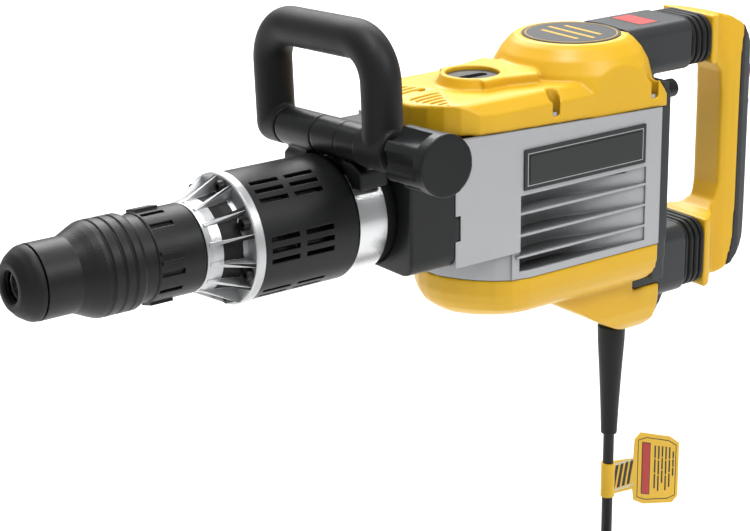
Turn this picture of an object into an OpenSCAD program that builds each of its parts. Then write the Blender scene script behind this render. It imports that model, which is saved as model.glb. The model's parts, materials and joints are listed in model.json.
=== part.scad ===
// Electric demolition hammer, held level: nose toward -X, top toward +Z, cord hanging down.
// Origin: mouth of the tool bore, on the hammer axis. Millimetres.

/* [Tool end] */
// Diameter of the tool bore
bore_d = 18; // [16:0.5:20]
// Outside diameter of the tool holder under the locking sleeve
holder_d = 34; // [30:1:36]
// Largest diameter of the locking sleeve
lock_sleeve_d = 62; // [60:0.5:66]
// Body diameter of the index ring
ring_d = 58.4; // [57.4:0.2:60]

/* [Barrel] */
// Diameter of the flange rim
flange_d = 87; // [84:1:92]
// Number of pockets with a screw round the flange
flange_screw_count = 7; // [5:1:9]
// Diameter of the black barrel sleeve
sleeve_d = 85; // [82:1:88]
// Diameter of the neck that the clamp strap sits on
neck_d = 77; // [74:1:79]
// Bore of the impact cylinder
cylinder_d = 44; // [38:1:46]

/* [Side handle] */
// Station of the handle pivot along the barrel
pivot_x = 233; // [231:1:236]
// Height of the handle pivot above the axis
pivot_z = 53.5; // [53.5:0.5:58]
// Turn of the clamp on the barrel, in degrees
clamp_turn = -3; // [-10:1:10]
// Diameter of the loop's grip
loop_tube_d = 26.6; // [24:0.2:30]
// Height of the loop's bar above the axis
loop_top_z = 122; // [115:1:135]
// Half distance between the loop's arms
loop_half_w = 61; // [58:1:68]
// Diameter of the clamp knob
knob_d = 40; // [34:1:44]

/* [Housing] */
// Half width of the main housing
housing_half_w = 54; // [50:1:58]
// Wall of the moulded housings
wall = 3.5; // [3:0.5:5]
// Height of the top cover's front deck
deck_z = 71; // [68:1:75]
// Height of the dome's flat top
dome_top_z = 93; // [88:1:96]
// Radius of the dome's flat top
dome_r = 40; // [38:1:44]

/* [Rear handle] */
// Half width of the handle arms
arm_half_w = 27; // [22:1:29]
// Half width of the grip
grip_half_w = 17; // [15:1:19]

/* [Cord] */
// Diameter of the cord
cord_d = 8.4; // [7:0.2:10]

/* [Hidden] */
fit = 0.05;
gap = 0.3;
bore_r = bore_d / 2;
holder_r = holder_d / 2;
neck_r = neck_d / 2;
sleeve_r = sleeve_d / 2;
flange_r = flange_d / 2;
cyl_r = cylinder_d / 2;
ring_r = ring_d / 2;
lock_r = lock_sleeve_d / 2;
ring_bore_r = 24;
ball_x = 44;
ball_r = 5;
ball_rest = 12;
guide_len = 38;
lock_ring_r = 24;
bolt_r = 5;
loop_bend = 26;
ring_front = 66.5;
ring_rear = 117;
flange_front = 117.4;
flange_face = 144.5;
flange_rear = 151;
sleeve_rear = 225;
strap_x0 = 226;
strap_x1 = 248;
crank_x = 353;
motor_x = 443;
idler_x = 401;
screw_turn = 360 / flange_screw_count;
first_screw = 9.4;
screw_r = 3;
screw_circle_r = 37.6;
screw_end = 160.5;
housing_rear = 482.3;
cover_rear_x = 488;
plate_rear = 494;
seam_front_z = 50;
seam_rear_z = 43;
bellows_x0 = 536;
bellows_x1 = 558;
upper_z = 75.5;
upper_half_h = 18.5;
lower_z = -88;
lower_half_h = 26;
boot_x = 489;
chin_z = -137.5;
chin_joint_z = -101;

// ---------- shape helpers ----------

// Turns a profile of [radius, station] points about the hammer axis.
module spin_x(profile) {
  rotate([0, 90, 0])
    rotate_extrude($fn = 96)
      polygon(profile);
}

module rod_x(x0, x1, r, y = 0, z = 0) {
  translate([x0, y, z])
    rotate([0, 90, 0])
      cylinder(h = x1 - x0, r = r, $fn = 96);
}

module rod_y(x, z, y0, y1, r) {
  translate([x, y0, z])
    rotate([-90, 0, 0])
      cylinder(h = y1 - y0, r = r, $fn = 96);
}

module rod_z(x, y, z0, z1, r) {
  translate([x, y, z0])
    cylinder(h = z1 - z0, r = r, $fn = 96);
}

// Side view outline [x, z], pushed from y0 to y1.
module side_slab(outline, y0, y1) {
  translate([0, y1, 0])
    rotate([90, 0, 0])
      linear_extrude(y1 - y0)
        polygon(outline);
}

// Front view outline [y, z], pushed from x0 to x1.
module front_slab(x0, x1) {
  translate([x0, 0, 0])
    rotate([90, 0, 90])
      linear_extrude(x1 - x0)
        children();
}

module rounded_rect(w, h, r) {
  offset(r = r, $fn = 32)
    square([w - 2 * r, h - 2 * r], center = true);
}

// Both sides of the machine.
module both_sides() {
  children();
  mirror([0, 1, 0])
    children();
}

// Places a child at an angle round the hammer axis, measured from the top toward -Y.
module round_axis(angle) {
  rotate([angle, 0, 0])
    children();
}

// A round tube swept along a list of points, as one closed skin.
function unit(v) = v / norm(v);
function tangent(p, i) =
  unit(p[min(i + 1, len(p) - 1)] - p[max(i - 1, 0)]);
function ring_at(c, t, s, r, n) =
  [for (k = [0:n - 1]) c + r * (cos(360 * k / n) * s + sin(360 * k / n) * cross(t, s))];
module swept_tube(path, r, n, aside) {
  rings = [for (i = [0:len(path) - 1])
    let (t = tangent(path, i), s = unit(aside - (aside * t) * t))
      ring_at(path[i], t, s, r, n)];
  points = [for (ring = rings) for (p = ring) p];
  last = (len(path) - 1) * n;
  sides = [for (i = [0:len(path) - 2]) for (k = [0:n - 1])
    let (a = i * n + k, b = i * n + (k + 1) % n)
      each [[a, b, b + n], [a, b + n, a + n]]];
  ends = [[for (k = [0:n - 1]) n - 1 - k], [for (k = [0:n - 1]) last + k]];
  polyhedron(points = points, faces = concat([ends[0]], sides, [ends[1]]), convexity = 6);
}

// A coil spring along X.
module spring_x(x0, x1, mean_r, wire_r, turns) {
  steps = turns * 12;
  path = [for (i = [0:steps])
    [x0 + wire_r + (x1 - x0 - 2 * wire_r) * i / steps,
     mean_r * cos(360 * i / 12), mean_r * sin(360 * i / 12)]];
  swept_tube(path, wire_r, 6, [1, 0, 0]);
}

// Hex-socket cap screw with its head's underside at the origin and its shank along +X.
module cap_screw_x(head_r, head_h, shank_r, length) {
  difference() {
    union() {
      rod_x(-head_h, 0, head_r);
      rod_x(-0.5, length, shank_r);
    }
    translate([-head_h - 1, 0, 0])
      rotate([0, 90, 0])
        cylinder(h = head_h * 0.6 + 1, r = head_r * 0.55, $fn = 6);
  }
}

// ---------- tool end ----------

module nose_cap() {
  color([0.09, 0.09, 0.1])
    spin_x([
      [10.2, -4.8], [11.6, -6], [15.5, -6], [20, -1.8], [23.2, 3.2], [24, 5.5], [24, 7.8],
      [holder_r, 7.8], [holder_r, -0.02], [12, -0.02], [10.2, -2.2]
    ]);
}

module locking_sleeve() {
  grooves = [for (x = [50, 58, 65.5])
    each [[lock_r, x - 1.2], [lock_r - 0.9, x - 0.4], [lock_r - 0.9, x + 0.4], [lock_r, x + 1.2]]];
  color([0.1, 0.1, 0.11])
    spin_x(concat(
      [[holder_r + fit, 8.6], [24.3, 8.6], [24.3, 32], [26.4, 37], [28.8, 42], [30.4, 46]],
      grooves,
      [[lock_r, 71], [lock_r - 0.8, 73], [28.6, 73], [28.6, 55.4], [lock_ring_r, 55.4], [lock_ring_r, 39],
       [21.5, 37], [21.5, 14], [holder_r + fit, 14]]
    ));
}

module lock_ring() {
  color([0.6, 0.6, 0.62])
    difference() {
      rod_x(ball_x - 3, ball_x + 3, lock_ring_r - 0.01);
      rod_x(ball_x - 4, ball_x + 4, 18.3);
    }
}

module sleeve_spring() {
  color([0.5, 0.5, 0.52])
    spring_x(ball_x + 3.05, 63.75, 20.6, 1.1, 4);
}

module lock_ball_upper() {
  color([0.75, 0.75, 0.77])
    translate([ball_x, 0, ball_rest])
      sphere(r = ball_r, $fn = 48);
}

module lock_ball_lower() {
  color([0.75, 0.75, 0.77])
    translate([ball_x, 0, -ball_rest])
      sphere(r = ball_r, $fn = 48);
}

module index_ring() {
  color([0.11, 0.11, 0.12])
    difference() {
      union() {
        spin_x([
          [ring_bore_r + fit, ring_front], [28.2, ring_front], [28.2, 82.5], [ring_r - 0.4, 82.5],
          [ring_r, 83.5], [ring_r, 115.5], [ring_r - 1.2, ring_rear], [ring_bore_r + fit, ring_rear]
        ]);
        for (a = [-14, 71, 83, 166, 251, 263])
          round_axis(a)
            translate([84, a % 180 > 60 && a % 180 < 90 ? -1.2 : -6, 20])
              cube([16, a % 180 > 60 && a % 180 < 90 ? 2.4 : 12, ring_r + 1.4 - 20]);
      }
      rod_x(ring_front - 1, ring_rear + 1, ring_bore_r + fit);
      for (a = [10, 34, 98, 124, 190, 214, 278, 304])
        round_axis(a)
          translate([84, -1.8, ring_r - 2])
            cube([16.5, 3.6, 5]);
    }
}

module tool_holder() {
  color([0.55, 0.55, 0.57])
    difference() {
      spin_x([
        [bore_r, 0], [holder_r - 1, 0], [holder_r, 1], [holder_r, 63.8], [26, 63.8], [26, 66.2],
        [ring_bore_r, 66.2], [ring_bore_r, 150], [12.1, 150], [12.1, 92], [bore_r + 0.4, 92],
        [bore_r + 0.4, guide_len], [bore_r, guide_len]
      ]);
      rod_z(ball_x, 0, -20, 20, ball_r + 0.1);
    }
}

module beat_piece() {
  color([0.65, 0.65, 0.67])
    spin_x([
      [0, 93], [8.4, 93], [8.8, 93.6], [8.8, 100], [12.05, 102], [12.05, 151.8], [15, 153.8], [15, 160],
      [11, 164], [0, 164]
    ]);
}

// ---------- barrel ----------

module front_flange() {
  ribs = 2 * flange_screw_count;
  color([0.72, 0.73, 0.74])
    difference() {
      union() {
        spin_x([
          [ring_bore_r + 0.02, flange_front], [28.4, flange_front], [29.8, 121], [31, 135], [33,
            flange_face],
          [flange_r - 0.8, flange_face], [flange_r, 145.4], [flange_r, flange_rear],
          [ring_bore_r + 0.02, flange_rear]
        ]);
        for (k = [0:ribs - 1])
          round_axis(first_screw + (k - 0.5) * 360 / ribs)
            side_slab([[119, 27], [119, 29.6], [123, 31.4], [flange_face + 0.5, flange_r - 0.6],
              [flange_face + 0.5, 27]],
              -1.3, 1.3);
      }
      rod_x(flange_front - 1, flange_rear + 1, ring_bore_r + 0.02);
      for (k = [0:flange_screw_count - 1])
        round_axis(first_screw + k * screw_turn)
          rod_x(flange_face - 1, flange_rear + 1, screw_r + 0.02, 0, screw_circle_r);
    }
}

module flange_screws() {
  color([0.2, 0.2, 0.21])
    for (k = [0:flange_screw_count - 1])
      round_axis(first_screw + k * screw_turn)
        translate([flange_face, 0, screw_circle_r])
          cap_screw_x(3.9, 4.5, screw_r, screw_end - flange_face);
}

module barrel_sleeve() {
  color([0.09, 0.09, 0.1])
    difference() {
      spin_x([
        [38.9, flange_rear], [sleeve_r, flange_rear], [sleeve_r, sleeve_rear - 1], [sleeve_r - 1,
          sleeve_rear],
        [38.9, sleeve_rear]
      ]);
      for (side = [-1, 1], middle = [35, 90, 145], step = [-10, 0, 10], x = [156.5, 183.2])
        round_axis(side * middle + step)
          translate([x, -1.7, 35])
            cube([21.6, 3.4, 15]);
      // room for the flange screws
      for (k = [0:flange_screw_count - 1])
        round_axis(first_screw + k * screw_turn)
          rod_x(flange_rear - 1, screw_end + 1, screw_r + gap, 0, screw_circle_r);
    }
}

module barrel_housing() {
  color([0.13, 0.13, 0.14])
    difference() {
      spin_x([
        [27.05, flange_rear], [38.8, flange_rear], [38.8, 163], [34, 166], [34, 219], [38.8, 222],
        [38.8, sleeve_rear], [neck_r, sleeve_rear + 0.4], [neck_r, 266], [27.05, 266]
      ]);
      rod_x(flange_rear - 1, 267, 27.05);
      for (k = [0:flange_screw_count - 1])
        round_axis(first_screw + k * screw_turn)
          rod_x(flange_rear - 1, screw_end + 1, screw_r + 0.02, 0, screw_circle_r);
    }
}

module impact_cylinder() {
  color([0.6, 0.6, 0.62])
    spin_x([[cyl_r + fit, 166], [27, 166], [27, 302], [cyl_r + fit, 302]]);
}

module ram() {
  color([0.66, 0.66, 0.68])
    spin_x([
      [0, 174], [13, 174], [17, 178], [cyl_r, 178], [cyl_r, 186], [cyl_r - 2, 186], [cyl_r - 2, 189],
      [cyl_r, 189], [cyl_r, 208], [0, 208]
    ]);
}

module piston() {
  color([0.7, 0.7, 0.72])
    difference() {
      spin_x([
        [0, 236], [cyl_r, 236], [cyl_r, 241], [cyl_r - 2, 241], [cyl_r - 2, 244], [cyl_r, 244], [cyl_r,
          276],
        [17, 276], [17, 250], [0, 250]
      ]);
      rod_z(264, 0, -30, 30, 5.02);
    }
}

module seal(x) {
  color([0.05, 0.05, 0.05])
    spin_x([[cyl_r - 2, x], [cyl_r - 0.02, x], [cyl_r - 0.02, x + 2.8], [cyl_r - 2, x + 2.8]]);
}

module ram_seal() {
  seal(186.1);
}

module piston_seal() {
  seal(241.1);
}

module wrist_pin() {
  color([0.75, 0.75, 0.77])
    rod_z(264, 0, -20.5, 20.5, 5);
}

module connecting_rod() {
  color([0.6, 0.6, 0.62])
    difference() {
      union() {
        rod_z(264, 0, -7, 7, 9.5);
        rod_z(crank_x - 20, 0, -7, 7, 13);
        translate([264, -5, -5])
          cube([crank_x - 20 - 264, 10, 10]);
      }
      rod_z(264, 0, -8, 8, 5.05);
      rod_z(crank_x - 20, 0, -8, 8, 8.05);
    }
}

// ---------- side handle ----------

module on_clamp() {
  rotate([clamp_turn, 0, 0])
    children();
}

module clamp_strap() {
  color([0.75, 0.75, 0.76])
    on_clamp()
      difference() {
        rod_x(strap_x0, strap_x1, neck_r + 3);
        rod_x(strap_x0 - 1, strap_x1 + 1, neck_r + 0.02);
        side_slab([[strap_x0 - 1, 0], [strap_x1 + 1, 0], [strap_x1 + 1, 60], [strap_x0 - 1, 60]], -26, 26);
      }
}

// One half of the clamp: a sleeve on the pivot and a leg down to the strap's end.
module clamp_half(side, inner, outer) {
  color([0.14, 0.14, 0.15])
    on_clamp()
      difference() {
        union() {
          rod_y(pivot_x, pivot_z, min(side * inner, side * outer), max(side * inner, side * outer), 13);
          hull() {
            translate([pivot_x - 4, side * (inner + outer) / 2 - 9, pivot_z - 10])
              cube([16, 18, 4]);
            translate([strap_x0, side * 37 - 7, 24])
              cube([strap_x1 - strap_x0, 14, 12]);
          }
        }
        rod_x(150, 300, neck_r + 3.02);
        rod_x(150, sleeve_rear + 0.6, sleeve_r + 0.3);
        rod_y(pivot_x, pivot_z, -46, -24.15, 13.3);
        rod_y(pivot_x, pivot_z, -100, 100, bolt_r + fit);
      }
}

module clamp_half_far() {
  clamp_half(1, 4, 44.5);
}

module clamp_half_near() {
  clamp_half(-1, -3.7, 24);
}

module clamp_bolt() {
  color([0.5, 0.5, 0.52])
    on_clamp() {
      rod_y(pivot_x, pivot_z, -112, 64, bolt_r);
      translate([pivot_x, 63.5, pivot_z])
        rotate([-90, 0, 0])
          cylinder(h = 5.5, r = 7, $fn = 6);
    }
}

module detent_ring() {
  color([0.12, 0.12, 0.13])
    on_clamp()
      difference() {
        rod_y(pivot_x, pivot_z, -44.5, -24.3, 13);
        rod_y(pivot_x, pivot_z, -45, -24, bolt_r + fit);
      }
}

module side_loop() {
  r = loop_tube_d / 2;
  arm_top = loop_top_z - loop_bend;
  color([0.08, 0.08, 0.09])
    on_clamp()
      difference() {
        union() {
          rod_y(pivot_x, pivot_z, 45, loop_half_w, r);
          translate([pivot_x, loop_half_w, pivot_z])
            rotate([0, 0, 90])
              sphere(r = r, $fn = 48);
          rod_y(pivot_x, pivot_z, -75, -45, r + 0.7);
          for (side = [-1, 1]) {
            rod_z(pivot_x, side * loop_half_w, pivot_z, arm_top, r);
            translate([pivot_x, side * (loop_half_w - loop_bend), arm_top])
              rotate([90, 0, 90 * side])
                rotate_extrude(angle = 90, $fn = 96)
                  translate([loop_bend, 0])
                    circle(r = r, $fn = 48);
          }
          rod_y(pivot_x, loop_top_z, loop_bend - loop_half_w, loop_half_w - loop_bend, r);
        }
        rod_y(pivot_x, pivot_z, -90, 70, bolt_r + fit);
        rod_y(pivot_x, pivot_z, 63.2, 80, 7.4);
      }
}

module clamp_knob() {
  r = knob_d / 2;
  color([0.1, 0.1, 0.11])
    on_clamp()
      difference() {
        union() {
          rod_y(pivot_x, pivot_z, -126, -86, r);
          rod_y(pivot_x, pivot_z, -86, -75.4, 10);
        }
        for (a = [0:60:300])
          translate([pivot_x, -117, pivot_z])
            rotate([0, a, 0])
              translate([r + 4.5, 0, 0])
                rotate([-90, 0, 0])
                  cylinder(h = 40, r = 9, $fn = 48);
        rod_y(pivot_x, pivot_z, -112.3, -70, bolt_r + fit);
      }
}

// ---------- housings ----------

cover_x0 = 257.6;
cover_x1 = 295;
under_z = -38;
seam_low_z = -58;
side_outline = [
  [cover_x1 + 0.02, under_z], [housing_rear, under_z], [housing_rear, seam_rear_z], [300, seam_front_z],
  [cover_x1 + 0.02, seam_front_z]
];
// Half of the motor part's bow in plan, from the nose of the bow to the flat side.
bow_half = [[313, 0], [314.5, 12], [320, 24], [328, 36], [337, 45], [347, 51], [360, housing_half_w]];
function mirrored(half) = concat(half, [for (i = [len(half) - 1:-1:1]) [half[i][0], -half[i][1]]]);
function with_tail(half, x) = concat(half, [[x, half[len(half) - 1][1]]]);
bow_plan = mirrored(with_tail(bow_half, housing_rear));

// Prism of the bow's plan, drawn in by d all round.
module bow_block(d, z0, z1) {
  translate([0, 0, z0])
    linear_extrude(z1 - z0)
      offset(delta = -d)
        polygon(bow_plan);
}

module front_cover_shape(d) {
  translate([0, (seam_front_z + under_z) / 2])
    rounded_rect(2 * 53.8 - 2 * d, seam_front_z - under_z - 0.1 - 2 * d, 10 - d / 2);
}

module front_cover() {
  color([0.12, 0.13, 0.13])
    difference() {
      union() {
        front_slab(cover_x0, cover_x1)
          front_cover_shape(0);
        both_sides()
          translate([cover_x1, -53.7, -19])
            cube([4, 2.4, 17]);
      }
      front_slab(cover_x0 + 4, cover_x1 + 1)
        front_cover_shape(4);
      rod_x(250, 270, neck_r + 0.02);
    }
}

// Floor line of a louvre opening: deep behind its front end, rising to the skin at the rear.
louvre_floor = [
  [352, 53], [355, 46], [362, 40.5], [372, 38], [388, 37.8], [404, 40.5], [420, 45], [440, 49], [456, 51.2],
  [468, 52.6]
];

module louvre_pocket(y_sign) {
  scale([1, y_sign, 1])
    translate([0, 0, -52.6])
      linear_extrude(54.6)
        polygon(concat([[468, 60], [350, 60]], louvre_floor));
}

module main_housing() {
  color([0.7, 0.71, 0.72])
    difference() {
      union() {
        difference() {
          union() {
            side_slab(side_outline, -housing_half_w, housing_half_w);
            bow_block(0, seam_low_z, under_z + 1);
          }
          translate([cover_x1 - 5, -housing_half_w + wall, under_z + wall])
            cube([housing_rear - wall - cover_x1 + 5, 2 * (housing_half_w - wall), 120]);
          bow_block(wall, seam_low_z - 5, 0);
        }
        // back walls of the louvre pockets
        both_sides()
          translate([0, 0, -29])
            linear_extrude(57.6, center = true)
              polygon(concat(
                [[473, -52], [346, -52], [347, -43]],
                [for (p = louvre_floor) if (p[0] > 356) [p[0] - 1, 3 - p[1]]],
                [[473, -49.8]]
              ));
      }
      louvre_pocket(-1);
      louvre_pocket(1);
      for (side = [-1, 1], z = blade_z)
        translate([392, side * 38 - 8, z - 3.6])
          cube([20, 16, 2.6]);
      // room for the foot of the top cover's dome
      both_sides()
        translate([412, -52.8, 43.6])
          cube([47, 2.2, 3]);
      // clip windows of the front cover
      both_sides()
        translate([cover_x1, -54.1, -19.3])
          cube([4.3, 3.1, 17.6]);
      for (z = [upper_rod_z, lower_rod_z])
        rod_x(470, 490, 9, 0, z);
    }
  color([0.7, 0.71, 0.72])
    both_sides()
      for (z = blade_z)
        louvre_blade(z);
}

blade_z = [-10.9, -26.4, -41.8];

module louvre_blade(z) {
  translate([0, 0, z - 0.9])
    linear_extrude(1.8)
      polygon(concat([[469, -53.9], [349, -53.9], [349, -51]], [for (p = louvre_floor) [p[0],
        -p[1] + 0.5]], [[469, -51]]));
}

module side_badges() {
  color([0.2, 0.22, 0.22])
    both_sides()
      translate([354, -housing_half_w - 1.2, 5.6])
        cube([112, 1.2, 28.2]);
}

cover_side = [
  [285, seam_front_z + 0.02], [300, seam_front_z + 0.02], [housing_rear, seam_rear_z + 0.02],
  [cover_rear_x, seam_rear_z + 0.02], [cover_rear_x, 52], [484, 58], [478, 66], [470, 70], [310, deck_z],
  [294, deck_z - 1], [285, 65]
];
cover_screws = [[384, 52], [476, 50]];
cap_r = 18.6;
cap_rim_z = 78.5;
cover_bow_half = [[288, 0], [289, 15], [292, 27], [298, 38], [306, 46], [318, 51.5], [332, 52.5]];

module cover_plan(d, z0, z1) {
  translate([0, 0, z0])
    linear_extrude(z1 - z0)
      offset(delta = -d)
        polygon(mirrored(with_tail(cover_bow_half, cover_rear_x)));
}

module cover_body(d) {
  intersection() {
    union() {
      intersection() {
        translate([0, 0, -d])
          side_slab(cover_side, -60, 60);
        front_slab(250, 500)
          offset(delta = -d)
            polygon([[-52.5, 30], [-52.5, 62], [-47, 69], [-40, deck_z + 1], [40, deck_z + 1], [47, 69],
              [52.5, 62], [52.5, 30]]);
      }
      translate([motor_x, 0, 0])
        rotate_extrude($fn = 96)
          polygon([
            [0, 44], [58 - d, 44], [58 - d, 62], [55 - d, 74], [50 - d, 83], [dome_r + 4 - d,
              dome_top_z - 3 - d / 2],
            [dome_r - d, dome_top_z - d], [0, dome_top_z - d]
          ]);
    }
    cover_plan(d, 30, 110);
  }
}

module top_cover() {
  color([0.9, 0.7, 0.1])
    difference() {
      union() {
        difference() {
          cover_body(0);
          difference() {
            cover_body(wall);
            // screw pillars
            both_sides() {
              rod_z(384, -47.5, 40, 80, 7);
              rod_z(476, -46, 40, 80, 7);
            }
          }
        }
        difference() {
          union() {
            translate([crank_x, 0, deck_z - wall])
              cylinder(h = cap_rim_z - deck_z + wall, r1 = cap_r + 8, r2 = cap_r + 3.6, $fn = 96);
            translate([0, 0, deck_z - 3])
              linear_extrude(10)
                polygon([[crank_x - 10, -25], [crank_x + 10, -25], [386, -31], [392, -24], [392, 24],
                  [386, 31], [crank_x + 10, 25], [crank_x - 10, 25]]);
          }
          translate([motor_x, 0, 60])
            cylinder(h = 30, r = 50, $fn = 96);
        }
      }
      rod_z(crank_x, 0, 60, 90, cap_r + 0.1);
      rod_z(motor_x, 0, dome_top_z - 1.5, 100, dome_r - 5);
      rod_z(314, 3, deck_z - 1.2, 80, 5);
      both_sides() {
        for (place = cover_screws) {
          rod_z(place[0], -48.4, place[1], 90, 4.8);
          rod_z(place[0], -47.8, 40, 60, 2.02);
        }
        for (k = [0:5])
          translate([293 + 0.3 * k * k, -9.2 - 6 * k, deck_z - 5])
            cube([25 - 3 * k - 0.3 * k * k, 2.4, 10]);
      }
      upper_bracket_room();
    }
}

// Room for the rear bracket where it passes over the cover's back edge.
module upper_bracket_room() {
  front_slab(475, 500)
    translate([0, upper_z])
      rounded_rect(2 * arm_half_w + 0.6, 2 * upper_half_h + 0.6, 8);
}

module grease_cap() {
  color([0.25, 0.26, 0.27])
    difference() {
      union() {
        rod_z(crank_x, 0, 67.6, 75.4, cap_r);
        rod_z(crank_x, 0, 62, 67.6, cap_r - 3);
      }
      translate([crank_x - 8, -4, 70])
        cube([16, 8, 6]);
      for (x = [-8, 8])
        rod_z(crank_x + x, 0, 70, 76, 4);
    }
}

module dome_disc() {
  color([0.25, 0.25, 0.26])
    rod_z(motor_x, 0, dome_top_z - 1.5, dome_top_z + 0.4, dome_r - 5);
}

module cover_screw() {
  cylinder(h = 3, r = 3.8, $fn = 48);
  translate([0, 0, -9])
    cylinder(h = 9.5, r = 2, $fn = 48);
}

module top_cover_screws() {
  color([0.2, 0.2, 0.21])
    both_sides()
      for (place = cover_screws)
        translate([place[0], -47.8, place[1]])
          cover_screw();
}

// How far the bottom cover draws in, [inset, height], from the seam down to its flat floor.
bottom_steps = [
  [0, seam_low_z - 0.3], [0, -70], [2, -77], [5, -82], [10, -86], [16, -89.5], [24, -92.5], [34, -96],
    [44, -98]
];
chin_outline = [
  [405, -94], [418, -101], [434, -110], [454, -122], [474, -132], [489, chin_z], [500, -137], [506, -132],
  [508, -120], [509, -104], [507, -92], [440, -92]
];

// One level of the bottom cover: the bow's plan, drawn in by s and the shell's depth d.
function bottom_level(s, d, z) =
  [for (p = bow_plan)
    [housing_rear - d - (housing_rear - p[0]) * (1 - (s + 2 * d) / (housing_rear - bow_half[0][0])),
     p[1] * (1 - (s + d) / housing_half_w), z]];

// Closed skin over a stack of levels with the same number of points, listed from the top down.
module stack_levels(levels) {
  n = len(levels[0]);
  last = (len(levels) - 1) * n;
  sides = [for (i = [0:len(levels) - 2]) for (k = [0:n - 1])
    let (a = i * n + k, b = i * n + (k + 1) % n)
      each [[b, a, a + n], [b, a + n, b + n]]];
  polyhedron(
    points = [for (level = levels) for (p = level) p],
    faces = concat([[for (k = [0:n - 1]) k]], sides, [[for (k = [n - 1:-1:0]) last + k]]),
    convexity = 6
  );
}

module bottom_solid(d) {
  stack_levels([for (step = bottom_steps)
    bottom_level(step[0], d, step[1] + (step[0] > 0 ? d : (step[1] > -60 && d > 0 ? 1 : 0)))]);
}

module chin_solid(d) {
  intersection() {
    translate([0, 60, 0])
      rotate([90, 0, 0])
        linear_extrude(120)
          offset(delta = -d)
            polygon(chin_outline);
    front_slab(380, 520)
      offset(delta = -d)
        polygon([
          [-29, -80], [-29, -118], [-26, -128], [-19, -135], [-10, -137.6], [10, -137.6], [19, -135],
            [26, -128],
          [29, -118], [29, -80]
        ]);
  }
}

module bottom_cover() {
  color([0.92, 0.72, 0.12])
    difference() {
      union() {
        difference() {
          union() {
            bottom_solid(0);
            chin_solid(0);
          }
          bottom_solid(wall);
          chin_solid(wall);
          translate([425, -20, -112])
            cube([50, 40, 30]);
          // joint line with the rear bracket
          translate([housing_rear + 0.02, -40, chin_joint_z])
            cube([40, 80, 60]);
        }
        // bridge with the seat of the lower motor bearing
        intersection() {
          bottom_solid(2);
          union() {
            translate([motor_x - 6, -60, -90])
              cube([12, 120, 8]);
            rod_z(motor_x, 0, -90, -75, 14);
          }
        }
      }
      rod_z(motor_x, 0, -84.02, -70, 11.02);
      rod_z(motor_x, 0, -95, -80, 6);
      rod_z(boot_x, 0, -145, -110, 9.02);
    }
}

// ---------- drive ----------

module gear_plate() {
  color([0.6, 0.61, 0.62])
    difference() {
      translate([305, wall + 0.02 - housing_half_w, 36.5])
        cube([167, 2 * (housing_half_w - wall - 0.02), 4.5]);
      rod_z(crank_x, 0, 30, 50, 13.02);
      rod_z(idler_x, 0, 30, 50, 4.02);
      rod_z(motor_x, 0, 30, 50, 11.02);
    }
}

// Spur gear as one prism: each tooth has a root land and a tip land.
module gear(x, z0, z1, r, teeth) {
  step = 360 / teeth;
  translate([x, 0, z0])
    linear_extrude(z1 - z0)
      polygon([for (k = [0:teeth - 1]) for (corner = [[0, r - 2.2], [0.5, r - 2.2], [0.62, r], [0.88, r]])
        corner[1] * [cos((k + corner[0]) * step), sin((k + corner[0]) * step)]]);
}

module crankshaft() {
  color([0.62, 0.62, 0.64])
    union() {
      rod_z(crank_x, 0, 17, 60, 7);
      rod_z(crank_x, 0, 9, 17, 31);
      rod_z(crank_x - 20, 0, 7.4, 9.5, 7.6);
      gear(crank_x, 43, 51, 35.6, 30);
    }
}

module crank_bearings() {
  color([0.7, 0.7, 0.72])
    difference() {
      rod_z(crank_x, 0, 32, 41, 13);
      rod_z(crank_x, 0, 31, 42, 7.02);
    }
}

module idler_gear() {
  color([0.62, 0.62, 0.64])
    union() {
      rod_z(idler_x, 0, 33, 60, 4);
      gear(idler_x, 43, 51, 11.8, 10);
      gear(idler_x, 53, 59, 33.8, 28);
    }
}

module armature() {
  color([0.7, 0.45, 0.25])
    union() {
      rod_z(motor_x, 0, -84, 62, 5);
      rod_z(motor_x, 0, -34, 14, 22);
      rod_z(motor_x, 0, 16, 30, 14);
      gear(motor_x, 53, 60, 7.6, 8);
    }
}

module cooling_fan() {
  color([0.15, 0.15, 0.16])
    difference() {
      union() {
        rod_z(motor_x, 0, -64, -61, 34);
        rod_z(motor_x, 0, -64, -48, 9);
        for (k = [0:11])
          translate([motor_x, 0, -61.5])
            rotate([0, 0, 30 * k])
              translate([8, -0.9, 0])
                cube([25.6, 1.8, 13]);
      }
      rod_z(motor_x, 0, -70, -40, 5);
    }
}

module stator() {
  color([0.3, 0.3, 0.32])
    difference() {
      rod_z(motor_x, 0, -30, 10, 35);
      rod_z(motor_x, 0, -31, 11, 22.6);
    }
}

module brushes() {
  color([0.25, 0.22, 0.2])
    both_sides()
      translate([motor_x - 4, -34, 18])
        cube([8, 19.7, 9]);
}

module motor_bearings() {
  color([0.7, 0.7, 0.72])
    for (z = [[-84, -75], [32, 41]])
      difference() {
        rod_z(motor_x, 0, z[0], z[1], 11);
        rod_z(motor_x, 0, z[0] - 1, z[1] + 1, 5.02);
      }
}

// ---------- rear ----------

dial_y = -41;
dial_z = 51.5;
upper_rod_z = upper_z;
lower_rod_z = lower_z;

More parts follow.
